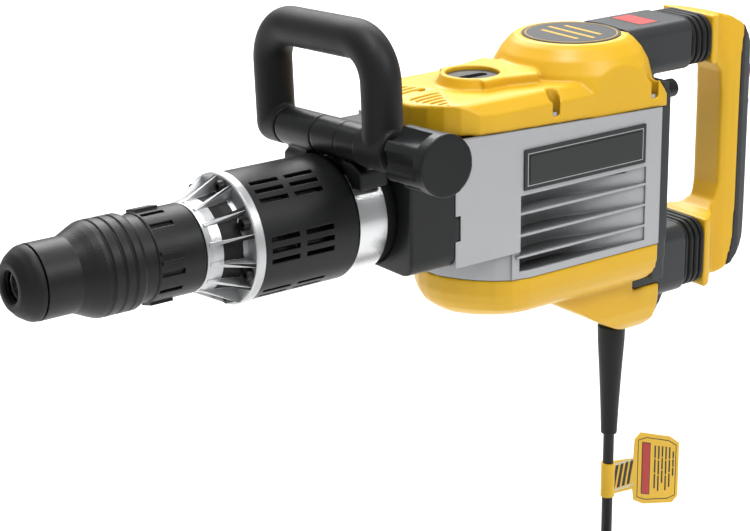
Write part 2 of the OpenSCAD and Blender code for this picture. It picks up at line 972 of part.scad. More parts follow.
module rear_plate() {
  color([0.3, 0.32, 0.33])
    difference() {
      union() {
        translate([housing_rear + 0.02, -50, -58])
          cube([plate_rear - housing_rear - 0.02, 100, 100.8]);
        translate([cover_rear_x + 0.02, -50, 40])
          cube([plate_rear - cover_rear_x - 0.02, 100, 12]);
        translate([cover_rear_x + 0.02, -48, 45])
          cube([plate_rear - cover_rear_x - 0.02, 30, 14]);
        // upper bracket, ahead of the bellows
        front_slab(475.5, bellows_x0)
          translate([0, upper_z])
            rounded_rect(2 * arm_half_w, 2 * upper_half_h, 8);
        translate([cover_rear_x + 0.02, -24, 45])
          cube([14, 48, 20]);
        // lower bracket and its tail behind the cord boss
        front_slab(housing_rear + 0.02, bellows_x0)
          translate([0, lower_z])
            rounded_rect(2 * arm_half_w + 2, 2 * lower_half_h, 10);
        side_slab([[509.4, -100], [509.4, -130], [514, -127], [519, -120], [523, -112], [526, -104]],
          -20, 20);
        front_slab(housing_rear + 0.02, plate_rear)
          polygon([[-50, -57], [-48, -88], [48, -88], [50, -57]]);
      }
      // hollow behind the plate, around the guide rods
      front_slab(470, 526)
        translate([0, upper_z])
          rounded_rect(2 * arm_half_w - 8, 2 * upper_half_h - 8, 5);
      front_slab(498, 528)
        translate([0, lower_z])
          rounded_rect(2 * arm_half_w - 8, 2 * lower_half_h - 8, 5);
      rod_x(520, 540, 7.1, 0, upper_rod_z);
      rod_x(480, 540, 7.1, 0, lower_rod_z);
      // seat for the cord boss of the bottom cover
      translate([housing_rear, -29.3, -140])
        cube([27, 58.6, chin_joint_z + 140 + gap]);
      rod_x(plate_rear - 6, plate_rear + 1, 2.52, dial_y, dial_z);
      // seat of the dome's disc
      rod_z(motor_x, 0, dome_top_z - 2, dome_top_z + 8, dome_r - 4.7);
    }
}

module speed_dial() {
  color([0.1, 0.1, 0.1])
    union() {
      rod_x(plate_rear + gap, plate_rear + 10, 6.6, dial_y, dial_z);
      rod_x(plate_rear - 5, plate_rear + 1, 2.5, dial_y, dial_z);
      translate([plate_rear + 9.5, dial_y - 1, dial_z - 5])
        cube([1.9, 2, 10]);
    }
}

// Folded boot between a bracket and a handle arm.
module bellows(z, half_h) {
  folds = 4;
  pitch = (bellows_x1 - bellows_x0) / folds;
  color([0.07, 0.07, 0.08])
    difference() {
      union() {
        front_slab(bellows_x0, bellows_x1)
          translate([0, z])
            rounded_rect(2 * arm_half_w - 5, 2 * half_h - 5, 12);
        for (k = [0:folds - 1])
          front_slab(bellows_x0 + k * pitch + 1, bellows_x0 + (k + 1) * pitch - 1)
            translate([0, z])
              rounded_rect(2 * arm_half_w, 2 * half_h, 14);
      }
      front_slab(bellows_x0 - 1, bellows_x1 + 1)
        translate([0, z])
          rounded_rect(2 * arm_half_w - 9, 2 * half_h - 9, 10);
    }
}

module upper_bellows() {
  bellows(upper_z, upper_half_h);
}

module lower_bellows() {
  bellows(lower_z, lower_half_h);
}

module guide_rods() {
  color([0.75, 0.75, 0.77])
    for (z = [upper_rod_z, lower_rod_z])
      rod_x(520, 580, 7, 0, z);
}

module handle_springs() {
  color([0.5, 0.5, 0.52])
    for (z = [upper_rod_z, lower_rod_z])
      translate([0, 0, z])
        spring_x(bellows_x0 + 0.1, bellows_x1 + 1.9, 9.5, 1.2, 4);
}

handle_outer = [
  [bellows_x1 + 0.02, 94], [574, 92], [588, 88.5], [600, 81.5], [609, 71], [615, 58], [618.5, 40],
    [619.5, 0],
  [619, -50], [616, -78], [609, -94], [598, -106], [584, -113], [bellows_x1 + 0.02, -116]
];
handle_inner = [
  [540, 57], [567, 57], [577, 54], [582, 46], [583.5, 30], [583.5, -42], [580, -54], [573, -60], [563,
    -62], [540, -62]
];
grip_line = [
  [594, 100], [596, 88], [602, 78], [600, 60], [599, 0], [599, -60], [598, -85], [594, -104], [590, -118],
  [640, -118], [640, 100]
];

module handle_shape() {
  difference() {
    translate([0, 40, 0])
      rotate([90, 0, 0])
        linear_extrude(80)
          polygon(handle_outer);
    translate([0, 40, 0])
      rotate([90, 0, 0])
        linear_extrude(80)
          polygon(handle_inner);
  }
}

handle_half = [
  [bellows_x1 + 0.02, arm_half_w], [564, arm_half_w - 1], [571, 20], [576, 14], [581, 12], [588, 15.5],
  [595, grip_half_w], [603, grip_half_w], [611, 14], [617, 9], [620, 3]
];

module handle_plan() {
  translate([0, 0, -150])
    linear_extrude(300)
      polygon(concat(handle_half, [for (i = [len(handle_half) - 1:-1:0]) [handle_half[i][0],
        -handle_half[i][1]]]));
}

module rear_handle() {
  color([0.9, 0.7, 0.1])
    difference() {
      intersection() {
        handle_shape();
        handle_plan();
      }
      side_slab(grip_line, -40, 40);
      rod_x(550, 580.1, 7.05, 0, upper_rod_z);
      rod_x(550, 580.1, 7.05, 0, lower_rod_z);
      rod_x(550, 560, 12, 0, upper_rod_z);
      rod_x(550, 560, 12, 0, lower_rod_z);
    }
}

module rear_grip() {
  color([0.3, 0.31, 0.32])
    difference() {
      intersection() {
        handle_shape();
        handle_plan();
        side_slab(grip_line, -40, 40);
      }
      translate([609.5, -8.3, 13.4])
        cube([12, 16.6, 33.2]);
    }
}

module power_switch() {
  color([0.6, 0.1, 0.08])
    side_slab([[612.6, 14.6], [619, 14.6], [617.6, 30], [620.6, 45.4], [612.6, 45.4]], -8, 8);
}

// ---------- cord ----------

boot_bottom = -226;
tag_z = -265;
coil_floor_z = -383.5;
coil_mean_r = 49;
coil_half_w = 16.8;
coil_x = 449;
coil_y = -61.6;
drop_bend = 40;
pin_r = 2.4;
coil_top_z = coil_floor_z + 2 * coil_half_w;
land_z = coil_top_z - cord_d / 2;
plug_x = 366;
plug_z = -367;
// Straight down, then round into the coil's outer turn.
cord_route = concat(
  [for (z = [-131.5, -150, -170, -190, -210, -226, -240, -255, -270, -285, -300]) [boot_x, 0, z]],
  [for (a = [0:15:90]) [boot_x - drop_bend * (1 - cos(a)), 0, land_z + drop_bend * (1 - sin(a))]]
);
// Off the coil's lowest turn and up into the plug.
tail_route = [
  [coil_x, 0, -379.3], [430, 0, -379.3], [412, 0, -378.5], [396, 0, -375], [382, 0, -370.5], [plug_x, 0,
    plug_z]
];

module cord_boot() {
  color([0.08, 0.08, 0.09])
    difference() {
      translate([boot_x, 0, 0])
        rotate_extrude($fn = 96)
          polygon([
            [0, -126], [9, -126], [9, chin_z - 0.02], [10.6, chin_z - 0.02], [10.2, -150], [8.6, -175],
              [7, -205],
            [6.2, boot_bottom], [0, boot_bottom]
          ]);
      rod_z(boot_x, 0, -240, -120, cord_d / 2);
    }
}

module power_cord() {
  color([0.07, 0.07, 0.08])
    swept_tube(cord_route, cord_d / 2, 12, [0, 1, 0]);
}

module cord_tail() {
  color([0.07, 0.07, 0.08])
    swept_tube(tail_route, cord_d / 2, 12, [0, 1, 0]);
}

module cord_coil() {
  color([0.07, 0.07, 0.08])
    translate([coil_x, coil_y, coil_floor_z])
      rotate_extrude($fn = 96)
        translate([coil_mean_r - coil_half_w, 0])
          square(2 * coil_half_w);
}

module coil_tie() {
  inner = coil_half_w + 0.1;
  color([0.1, 0.1, 0.1])
    translate([coil_x, coil_y, coil_floor_z + coil_half_w])
      rotate([0, 0, 200])
        translate([coil_mean_r, 0, 0])
          difference() {
            translate([-0.5, 0, 0])
              cube([2 * inner + 3.6, 14, 2 * inner + 2.6], center = true);
            translate([-0.5, 0, 0])
              cube([2 * inner + 1, 16, 2 * inner], center = true);
          }
}

// Two-pin plug lying on its side, pins toward -X.
module plug() {
  color([0.08, 0.08, 0.09])
    difference() {
      union() {
        translate([plug_x, 0, plug_z])
          rotate([0, -90, 0])
            rotate_extrude($fn = 96)
              polygon([
                [0, -6], [5.8, -6], [7.6, 14], [11, 20], [16, 26], [17.9, 33], [17.9, 58], [16.5, 62],
                  [0, 62]
              ]);
        for (side = [-1, 1])
          rod_x(plug_x - 81, plug_x - 61, pin_r, side * 9.5, plug_z);
      }
      rod_x(plug_x, plug_x + 7, cord_d / 2, 0, plug_z);
    }
}

module cord_tag() {
  color([0.85, 0.65, 0.1])
    difference() {
      union() {
        rod_z(boot_x, 0, tag_z - 14, tag_z + 14, cord_d / 2 + 1.2);
        side_slab([[boot_x + 3, tag_z + 14], [boot_x + 27, tag_z + 10], [boot_x + 28, tag_z + 26],
          [boot_x + 34, tag_z + 30], [boot_x + 66, tag_z + 18], [boot_x + 76, tag_z + 10],
          [boot_x + 76, tag_z - 36], [boot_x + 70, tag_z - 40], [boot_x + 38, tag_z - 32],
          [boot_x + 28, tag_z - 26], [boot_x + 27, tag_z - 16], [boot_x + 3, tag_z - 14]], -0.5, 0.5);
      }
      rod_z(boot_x, 0, tag_z - 15, tag_z + 15, cord_d / 2 + 0.02);
    }
}

// ---------- assembly ----------

nose_cap();
locking_sleeve();
lock_ring();
sleeve_spring();
lock_ball_upper();
lock_ball_lower();
index_ring();
tool_holder();
beat_piece();
front_flange();
flange_screws();
barrel_sleeve();
barrel_housing();
impact_cylinder();
ram();
piston();
wrist_pin();
connecting_rod();
ram_seal();
piston_seal();
clamp_strap();
clamp_half_far();
clamp_half_near();
clamp_bolt();
detent_ring();
side_loop();
clamp_knob();
front_cover();
main_housing();
side_badges();
top_cover();
grease_cap();
dome_disc();
top_cover_screws();
bottom_cover();
gear_plate();
crankshaft();
crank_bearings();
idler_gear();
armature();
cooling_fan();
stator();
brushes();
motor_bearings();
rear_plate();
speed_dial();
upper_bellows();
lower_bellows();
guide_rods();
handle_springs();
rear_handle();
rear_grip();
power_switch();
cord_boot();
power_cord();
cord_tail();
cord_coil();
coil_tie();
plug();
cord_tag();
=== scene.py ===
"""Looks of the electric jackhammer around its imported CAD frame. Metres; +X runs from nose to handle."""

import json
import math

import bmesh
import bpy
from mathutils import Matrix, Vector

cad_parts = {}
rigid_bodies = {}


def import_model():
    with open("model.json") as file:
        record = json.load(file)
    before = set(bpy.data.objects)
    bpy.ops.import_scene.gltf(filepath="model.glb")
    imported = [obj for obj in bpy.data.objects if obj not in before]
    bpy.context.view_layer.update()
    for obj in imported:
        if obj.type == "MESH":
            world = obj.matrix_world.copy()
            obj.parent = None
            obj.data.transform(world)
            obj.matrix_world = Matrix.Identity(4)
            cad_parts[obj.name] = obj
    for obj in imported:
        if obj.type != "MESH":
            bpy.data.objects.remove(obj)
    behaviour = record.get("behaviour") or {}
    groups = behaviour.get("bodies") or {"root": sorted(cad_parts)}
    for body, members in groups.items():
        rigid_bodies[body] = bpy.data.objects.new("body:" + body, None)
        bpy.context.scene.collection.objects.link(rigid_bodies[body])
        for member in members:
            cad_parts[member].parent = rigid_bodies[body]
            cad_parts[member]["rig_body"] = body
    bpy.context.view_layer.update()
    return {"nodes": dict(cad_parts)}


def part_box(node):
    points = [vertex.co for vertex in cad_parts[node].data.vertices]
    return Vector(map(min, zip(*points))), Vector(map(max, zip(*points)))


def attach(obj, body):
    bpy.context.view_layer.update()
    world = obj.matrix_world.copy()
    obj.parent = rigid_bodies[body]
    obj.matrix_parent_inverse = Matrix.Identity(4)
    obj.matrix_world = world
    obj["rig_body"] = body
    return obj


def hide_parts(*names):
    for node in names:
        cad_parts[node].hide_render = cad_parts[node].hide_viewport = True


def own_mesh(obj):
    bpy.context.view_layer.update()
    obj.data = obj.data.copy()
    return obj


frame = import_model()
NODES = frame["nodes"]
COLLECTION = bpy.context.scene.collection
MM = 0.001

# ---------- camera ----------

CAMERA_AT = Vector((-0.5428, -1.0980, 0.4173))
LENS = 101.48
SHIFT_X, SHIFT_Y = -0.0145, -0.0063
AZIMUTH, ELEVATION, ROLL = (math.radians(a) for a in (36.75, 18.55, -0.63))


def make_camera():
    forward = Vector((
        math.sin(AZIMUTH) * math.cos(ELEVATION),
        math.cos(AZIMUTH) * math.cos(ELEVATION),
        -math.sin(ELEVATION),
    ))
    level = Vector((math.cos(AZIMUTH), -math.sin(AZIMUTH), 0))
    upright = level.cross(forward)
    right = level * math.cos(ROLL) + upright * math.sin(ROLL)
    up = upright * math.cos(ROLL) - level * math.sin(ROLL)
    data = bpy.data.cameras.new("camera")
    data.lens = LENS
    data.shift_x, data.shift_y = SHIFT_X, SHIFT_Y
    data.clip_start, data.clip_end = 0.05, 20
    camera = bpy.data.objects.new("camera", data)
    COLLECTION.objects.link(camera)
    turn = Matrix((right, up, -forward)).transposed().to_4x4()
    camera.matrix_world = Matrix.Translation(CAMERA_AT) @ turn
    bpy.context.scene.camera = camera


make_camera()

# ---------- materials ----------


# Where the noise of a finish turns from its darkest to its lightest tone.
NOISE_LOW, NOISE_HIGH = 0.3, 0.7
PATCH_SCALE, WEAR_SCALE = 18.0, 55.0
WEAR_START, WEAR_FULL = 0.58, 0.75
SHINE_DOWN, SHINE_UP = 0.06, 0.07
GRAIN_DEPTH = 0.0004
# The ambient-occlusion values at which the painted shade is full and at which it has faded out.
SHADED_FROM, SHADED_TO = 0.15, 0.85


def node_maker(material):
    """Short ways to add a shader node, with its inputs by name or number, and to link two sockets."""
    tree = material.node_tree

    def make(kind, **values):
        made = tree.nodes.new(kind)
        for name, value in values.items():
            if name.startswith("in_"):
                key = name[3:]
                made.inputs[int(key) if key.isdigit() else key.replace("_", " ")].default_value = value
            else:
                setattr(made, name, value)
        return made

    return make, tree.links.new


def surface(name, colour, rough=0.5, metallic=0.0, grain=0.08, grain_scale=900.0, mottled=0.06,
            specular=0.5, round_by=0.0, brushed=None, wear=None, sheen=0.0,
            painted_shade_amount=0.0, painted_shade_reach=0.012):
    """A moulded, painted or machined finish: fine grain in the bump, slow changes in tone and roughness.
    wear is the colour of the worn patches and how strongly they show. The last two arguments paint shade
    into the colour: ambient occlusion darkens hollows and creases, within the reach given."""
    material = bpy.data.materials.new(name)
    material.use_nodes = True
    make, link = node_maker(material)
    shader = material.node_tree.nodes["Principled BSDF"]
    shader.inputs["Metallic"].default_value = metallic
    shader.inputs["Specular IOR Level"].default_value = specular
    shader.inputs["Sheen Weight"].default_value = sheen

    where = make("ShaderNodeTexCoord").outputs["Object"]
    slow = make("ShaderNodeTexNoise", in_Scale=PATCH_SCALE, in_Detail=5.0, in_Roughness=0.6)
    link(where, slow.inputs["Vector"])
    fine = make("ShaderNodeTexNoise", in_Scale=grain_scale, in_Detail=3.0, in_Roughness=0.55)
    if brushed:
        stretch = make("ShaderNodeMapping")
        stretch.inputs["Scale"].default_value = brushed
        link(where, stretch.inputs["Vector"])
        link(stretch.outputs["Vector"], fine.inputs["Vector"])
    else:
        link(where, fine.inputs["Vector"])

    def from_noise(noise, start, end, low, high):
        ranged = make("ShaderNodeMapRange", in_1=start, in_2=end, in_3=low, in_4=high)
        link(noise, ranged.inputs["Value"])
        return ranged.outputs["Result"]

    def multiplied(amount):
        mixed = make("ShaderNodeMix", data_type="RGBA", blend_type="MULTIPLY")
        mixed.inputs["Factor"].default_value = 1.0
        link(amount, mixed.inputs["B"])
        return mixed

    tone = multiplied(from_noise(slow.outputs["Fac"], NOISE_LOW, NOISE_HIGH, 1 - mottled, 1 + mottled))
    tone.inputs["A"].default_value = (*colour, 1)
    base = tone.outputs["Result"]
    if wear:
        *worn_colour, strength = wear
        dirt = make("ShaderNodeTexNoise", in_Scale=WEAR_SCALE, in_Detail=8.0, in_Roughness=0.7)
        link(where, dirt.inputs["Vector"])
        worn = make("ShaderNodeMix", data_type="RGBA")
        worn.inputs["B"].default_value = (*worn_colour, 1)
        link(from_noise(dirt.outputs["Fac"], WEAR_START, WEAR_FULL, 0.0, strength), worn.inputs["Factor"])
        link(base, worn.inputs["A"])
        base = worn.outputs["Result"]
    # Painted shade: ambient occlusion darkens the colour in hollows, creases and under parts.
    if painted_shade_amount:
        near = make("ShaderNodeAmbientOcclusion", samples=4, in_Distance=painted_shade_reach)
        painted_shade_mix = multiplied(from_noise(near.outputs["AO"], SHADED_FROM, SHADED_TO, 1 - painted_shade_amount, 1.0))
        link(base, painted_shade_mix.inputs["A"])
        base = painted_shade_mix.outputs["Result"]
    link(base, shader.inputs["Base Color"])

    low, high = max(rough - SHINE_DOWN, 0.03), min(rough + SHINE_UP, 1)
    link(from_noise(slow.outputs["Fac"], NOISE_LOW, NOISE_HIGH, low, high), shader.inputs["Roughness"])
    bump = make("ShaderNodeBump", in_Strength=grain, in_Distance=GRAIN_DEPTH)
    link(fine.outputs["Fac"], bump.inputs["Height"])
    if round_by:
        rounded = make("ShaderNodeBevel", samples=6, in_Radius=round_by)
        link(rounded.outputs["Normal"], bump.inputs["Normal"])
    link(bump.outputs["Normal"], shader.inputs["Normal"])
    return material


# Most finishes below get painted shade from ambient occlusion; the silver paint gets the most, over the
# widest reach.
YELLOW = surface("yellow_plastic", (0.82, 0.475, 0.013), 0.40, grain=0.10, mottled=0.03, round_by=0.0016,
                 wear=(0.50, 0.28, 0.02, 0.10), painted_shade_amount=0.45)
BLACK = surface("black_plastic", (0.0085, 0.009, 0.0095), 0.40, grain=0.30, mottled=0.15,
                round_by=0.0009, specular=0.34, wear=(0.05, 0.05, 0.05, 0.16), painted_shade_amount=0.6)
CHARCOAL = surface("charcoal_plastic", (0.011, 0.012, 0.013), 0.36, grain=0.20, mottled=0.12,
                   round_by=0.0011, specular=0.36, wear=(0.06, 0.06, 0.06, 0.12), painted_shade_amount=0.6)
RUBBER = surface("soft_rubber", (0.0085, 0.0088, 0.0095), 0.50, grain=0.25, grain_scale=1300, mottled=0.15,
                 specular=0.32, round_by=0.001, sheen=0.04, painted_shade_amount=0.6)
GRIP = surface("grip_rubber", (0.030, 0.032, 0.035), 0.58, grain=0.30, grain_scale=1300, mottled=0.1,
               specular=0.4, round_by=0.0012, sheen=0.06, painted_shade_amount=0.4)
GREY = surface("dark_grey_plastic", (0.032, 0.035, 0.038), 0.42, grain=0.18, mottled=0.07, round_by=0.0009,
               specular=0.45, painted_shade_amount=0.4)
SILVER = surface("silver_paint", (0.47, 0.48, 0.495), 0.36, metallic=0.2, grain=0.10, grain_scale=1500,
                 mottled=0.02, round_by=0.0012, wear=(0.30, 0.305, 0.31, 0.12),
                 painted_shade_amount=0.92, painted_shade_reach=0.024)
ALUMINIUM = surface("satin_aluminium", (0.62, 0.63, 0.64), 0.34, metallic=0.75, grain=0.25, mottled=0.07,
                    round_by=0.0006, painted_shade_amount=0.55)
STEEL = surface("turned_steel", (0.58, 0.58, 0.59), 0.28, metallic=1.0, grain=0.22, mottled=0.08,
                round_by=0.0004, brushed=(40.0, 1.0, 1.0))
STRAP = surface("bright_strap", (0.74, 0.75, 0.76), 0.20, metallic=1.0, grain=0.12, mottled=0.06,
                round_by=0.0004, brushed=(14.0, 1.0, 1.0))
DARK_STEEL = surface("blackened_steel", (0.03, 0.03, 0.032), 0.36, metallic=0.7, grain=0.2, mottled=0.15)
COPPER = surface("copper_windings", (0.48, 0.24, 0.11), 0.38, metallic=0.9, grain=0.4, mottled=0.1)
BADGE = surface("badge_plate", (0.020, 0.024, 0.024), 0.34, grain=0.12, mottled=0.07, round_by=0.0004)
PALE = surface("pale_print", (0.50, 0.52, 0.52), 0.40, grain=0.06, mottled=0.03)
CORD = surface("cord_sheath", (0.010, 0.010, 0.011), 0.46, grain=0.25, grain_scale=1600, mottled=0.12,
               specular=0.4)
CARD = surface("yellow_card", (0.86, 0.52, 0.018), 0.42, grain=0.06, mottled=0.04)
RED = surface("red_print", (0.50, 0.022, 0.014), 0.42, grain=0.05, mottled=0.05)
INK = surface("black_print", (0.010, 0.010, 0.010), 0.45, grain=0.05, mottled=0.08)
CREAM = surface("cream_card", (0.72, 0.66, 0.46), 0.5, grain=0.06, mottled=0.04)
SWITCH_RED = surface("red_switch", (0.33, 0.022, 0.015), 0.4, grain=0.1, mottled=0.05, round_by=0.001)
# Flat black laid on the flange's pocket floors as painted shade.
POCKET_SHADE = surface("painted_pocket_shade", (0.006, 0.006, 0.0065), 0.5, grain=0.3, mottled=0.2, specular=0.3)

FINISH = {
    "nose_cap": RUBBER, "locking_sleeve": BLACK, "lock_ring": STEEL, "sleeve_spring": STEEL,
    "lock_ball_upper": STEEL, "lock_ball_lower": STEEL, "index_ring": BLACK, "tool_holder": STEEL,
    "beat_piece": STEEL, "front_flange": ALUMINIUM, "flange_screws": DARK_STEEL, "barrel_sleeve": BLACK,
    "barrel_housing": CHARCOAL, "impact_cylinder": STEEL, "ram": STEEL, "piston": ALUMINIUM,
    "wrist_pin": STEEL, "connecting_rod": STEEL, "ram_seal": RUBBER, "piston_seal": RUBBER,
    "clamp_strap": STRAP, "clamp_half_far": CHARCOAL, "clamp_half_near": CHARCOAL, "clamp_bolt": STEEL,
    "detent_ring": CHARCOAL, "side_loop": RUBBER, "clamp_knob": CHARCOAL, "front_cover": CHARCOAL,
    "main_housing": SILVER, "side_badges": BADGE, "top_cover": YELLOW, "grease_cap": GREY,
    "dome_disc": GREY, "top_cover_screws": STEEL, "bottom_cover": YELLOW, "gear_plate": ALUMINIUM,
    "crankshaft": STEEL, "crank_bearings": STEEL, "idler_gear": STEEL, "armature": COPPER,
    "cooling_fan": CHARCOAL, "stator": DARK_STEEL, "brushes": DARK_STEEL, "motor_bearings": STEEL,
    "rear_plate": GREY, "speed_dial": BLACK, "upper_bellows": RUBBER, "lower_bellows": RUBBER,
    "guide_rods": STEEL, "handle_springs": STEEL, "rear_handle": YELLOW, "rear_grip": GRIP,
    "power_switch": SWITCH_RED, "cord_boot": RUBBER, "power_cord": CORD, "cord_tail": CORD,
    "cord_coil": CORD, "coil_tie": BLACK, "plug": RUBBER, "cord_tag": CARD,
}

for node, finish in FINISH.items():
    NODES[node].data.materials.clear()
    NODES[node].data.materials.append(finish)

# ---------- pieces ----------


def link_piece(name, mesh, body, finish=None):
    piece = bpy.data.objects.new(name, mesh)
    COLLECTION.objects.link(piece)
    if finish:
        mesh.materials.clear()
        mesh.materials.append(finish)
    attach(piece, body)
    return piece


def body_of(node):
    return NODES[node]["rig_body"]


def softened(node, voxel, rounds):
    """The node's own shape with its edges melted a little, as a moulding has them."""
    mesh = NODES[node].data.copy()
    piece = link_piece(node + "_look", mesh, body_of(node), FINISH[node])
    remesh = piece.modifiers.new("remesh", "REMESH")
    remesh.mode = "VOXEL"
    remesh.voxel_size = voxel
    remesh.use_smooth_shade = True
    smooth = piece.modifiers.new("smooth", "SMOOTH")
    smooth.factor = 0.5
    smooth.iterations = rounds
    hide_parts(node)
    return piece


SOFTENED = {  # voxel size, then rounds of smoothing
    "top_cover": (0.0009, 5), "bottom_cover": (0.0013, 5), "rear_handle": (0.0012, 6),
    "rear_grip": (0.0010, 5),
    "side_loop": (0.0009, 5), "clamp_half_near": (0.0009, 4), "clamp_half_far": (0.0009, 4),
    "clamp_knob": (0.0007, 3), "front_cover": (0.0009, 3), "nose_cap": (0.0007, 3), "plug": (0.0008, 4),
    "cord_boot": (0.0006, 4), "upper_bellows": (0.0008, 3), "lower_bellows": (0.0008, 3),
    "rear_plate": (0.0010, 2), "speed_dial": (0.0005, 2), "power_switch": (0.0006, 3),
}
for node, (voxel, rounds) in SOFTENED.items():
    softened(node, voxel, rounds)


def shorten(piece):
    """Gives a folded or coiled piece its own copy of its mesh."""
    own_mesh(piece)


def spring_look(node):
    piece = link_piece(node + "_look", NODES[node].data.copy(), body_of(node), FINISH[node])
    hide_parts(node)
    return piece


for node in ("upper_bellows", "lower_bellows"):
    shorten(bpy.data.objects[node + "_look"])
shorten(spring_look("handle_springs"))
shorten(spring_look("sleeve_spring"))


def mesh_from(name, corners, faces):
    mesh = bpy.data.meshes.new(name)
    mesh.from_pydata(corners, [], faces)
    mesh.validate()
    return mesh


def plate(name, outline, thickness, place, body, slot, finish, rounding=0.0):
    """A flat plate: outline in its own x and y, lying on z 0 and rising by the thickness."""
    shape = bmesh.new()
    ring = [shape.verts.new((x, y, 0)) for x, y in outline]
    face = shape.faces.new(ring)
    raised = bmesh.ops.extrude_face_region(shape, geom=[face])
    tops = [v for v in raised["geom"] if isinstance(v, bmesh.types.BMVert)]
    bmesh.ops.translate(shape, verts=tops, vec=(0, 0, thickness))
    bmesh.ops.recalc_face_normals(shape, faces=shape.faces)
    if rounding:
        edges = [e for e in shape.edges if e.calc_face_angle(0) > 0.6]
        bmesh.ops.bevel(shape, geom=edges, offset=rounding, segments=2, affect="EDGES")
    shape.transform(place)
    mesh = bpy.data.meshes.new(name)
    shape.to_mesh(mesh)
    shape.free()
    return link_piece(name, mesh, body, finish)


def rectangle(x0, y0, x1, y1):
    return [(x0, y0), (x1, y0), (x1, y1), (x0, y1)]


def band(name, points, width, thickness, place, body, slot, finish):
    """A closed printed line of the given width that follows the outline."""
    count = len(points)
    centre = Vector((sum(p[0] for p in points) / count, sum(p[1] for p in points) / count))
    inner = []
    for k, p in enumerate(points):
        here, before, after = Vector(p), Vector(points[k - 1]), Vector(points[(k + 1) % count])
        one, two = (here - before).normalized(), (after - here).normalized()
        sides = [Vector((-e.y, e.x)) for e in (one, two)]
        sides = [s if s.dot(centre - here) > 0 else -s for s in sides]
        mid = (sides[0] + sides[1]).normalized()
        inner.append(here + mid * (width / max(mid.dot(sides[0]), 0.3)))
    corners = [(x, y, z) for z in (0, thickness) for ring in (points, inner) for x, y in ring]
    faces = []
    for k in range(count):
        j = (k + 1) % count
        outer_low, inner_low, outer_high, inner_high = 0, count, 2 * count, 3 * count
        faces += [
            (outer_high + k, outer_high + j, inner_high + j, inner_high + k),
            (outer_low + k, inner_low + k, inner_low + j, outer_low + j),
            (outer_low + k, outer_low + j, outer_high + j, outer_high + k),
            (inner_low + k, inner_high + k, inner_high + j, inner_low + j),
        ]
    mesh = mesh_from(name, corners, faces)
    mesh.transform(place)
    return link_piece(name, mesh, body, finish)


# ---------- cord ----------

EXIT_X, EXIT_Z = 0.489, -0.226
CORD_D = 0.0084
DROP_STEP, DROP_POINTS = 0.0074, 11
BEND_R, BEND_Z = 0.04, -0.3141
COIL_X, COIL_Y = 0.449, -0.0616
TOP_LAYER_Z, LAYERS = -0.3541, 4
OUTER_R, INNER_R = 0.0616, 0.0364
TURNS_PER_LAYER, STEPS = 3, 216
DROP_TURNS = 1 / 6
TAIL = (  # X, and the rise from the lowest layer, on the way to the plug
    (0.449, 0), (0.439, 0), (0.43, 0), (0.421, 0.0003), (0.412, 0.0010), (0.404, 0.0023), (0.396, 0.0043),
    (0.389, 0.0064), (0.382, 0.0088), (0.374, 0.0112), (0.366, 0.0123),
)


def coil_points():
    """Three turns in a layer, by turns inward and outward, with a short drop to the next layer."""
    points = []
    for layer in range(LAYERS):
        start, end = (OUTER_R, INNER_R) if layer % 2 == 0 else (INNER_R, OUTER_R)
        level = TOP_LAYER_Z - layer * CORD_D
        winding = TURNS_PER_LAYER - DROP_TURNS
        for k in range(STEPS):
            turns = TURNS_PER_LAYER * k / STEPS
            radius = start + (end - start) * min(turns / winding, 1)
            sink = max(turns - winding, 0) / DROP_TURNS if layer < LAYERS - 1 else 0
            sink = sink * sink * (3 - 2 * sink)
            angle = math.radians(90) + 2 * math.pi * turns
            x, y = COIL_X + radius * math.cos(angle), COIL_Y + radius * math.sin(angle)
            points.append((x, y, level - sink * CORD_D))
    return points


def cord_route():
    down = [(EXIT_X, 0, EXIT_Z - DROP_STEP * k) for k in range(DROP_POINTS)]
    bend = [(EXIT_X - BEND_R * (1 - math.cos(a)), 0, BEND_Z - BEND_R * math.sin(a))
            for a in (math.radians(9 * k) for k in range(1, 10))]
    last_z = TOP_LAYER_Z - (LAYERS - 1) * CORD_D
    tail = [(x, 0, last_z + rise) for x, rise in TAIL]
    return down + [(EXIT_X, 0, -0.307), (EXIT_X, 0, BEND_Z)] + bend + coil_points() + tail


def make_cord():
    data = bpy.data.curves.new("flex", "CURVE")
    data.dimensions = "3D"
    data.bevel_depth = CORD_D / 2
    data.bevel_resolution = 5
    data.use_fill_caps = True
    route = cord_route()
    line = data.splines.new("POLY")
    line.points.add(len(route) - 1)
    for point, place in zip(line.points, route):
        point.co = (*place, 1)
    data.materials.append(CORD)
    flex = bpy.data.objects.new("flex", data)
    COLLECTION.objects.link(flex)
    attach(flex, body_of("power_cord"))
    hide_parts("power_cord", "cord_coil", "cord_tail")
    length = sum((Vector(a) - Vector(b)).length for a, b in zip(route, route[1:]))
    return flex, length


flex, flex_length = make_cord()

# ---------- side badges: a thin inset border in place of the maker's letters ----------


PRINT = 0.14 * MM
SINK = 0.02 * MM
BORDER_INSET, FIELD_INSET = 2.6 * MM, 4.4 * MM


def make_badges():
    low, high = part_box("side_badges")
    half_x, half_z = (high.x - low.x) / 2, (high.z - low.z) / 2

    def inset_by(d):
        return rectangle(-half_x + d, -half_z + d, half_x - d, half_z - d)

    for side, name in ((-1, "near"), (1, "far")):
        y = (low.y if side < 0 else high.y) - side * 0.05 * MM
        turn = Matrix.Rotation(math.radians(-90 * side), 4, "X")
        place = Matrix.Translation(((low.x + high.x) / 2, y, (low.z + high.z) / 2)) @ turn
        goes_on = (place, "housing", "side_badges")
        band("badge_border_" + name, inset_by(BORDER_INSET), 0.5 * MM, PRINT, *goes_on, PALE)
        plate("badge_field_" + name, inset_by(FIELD_INSET), 0.5 * MM, *goes_on, BADGE, 0.2 * MM)


make_badges()

# ---------- flange pockets with painted shade, and the dome's ring ---


COLLAR, RIM = 8 * MM, 9 * MM
POCKET_R, POCKET_FLARE = 26.5 * MM, 21 * MM


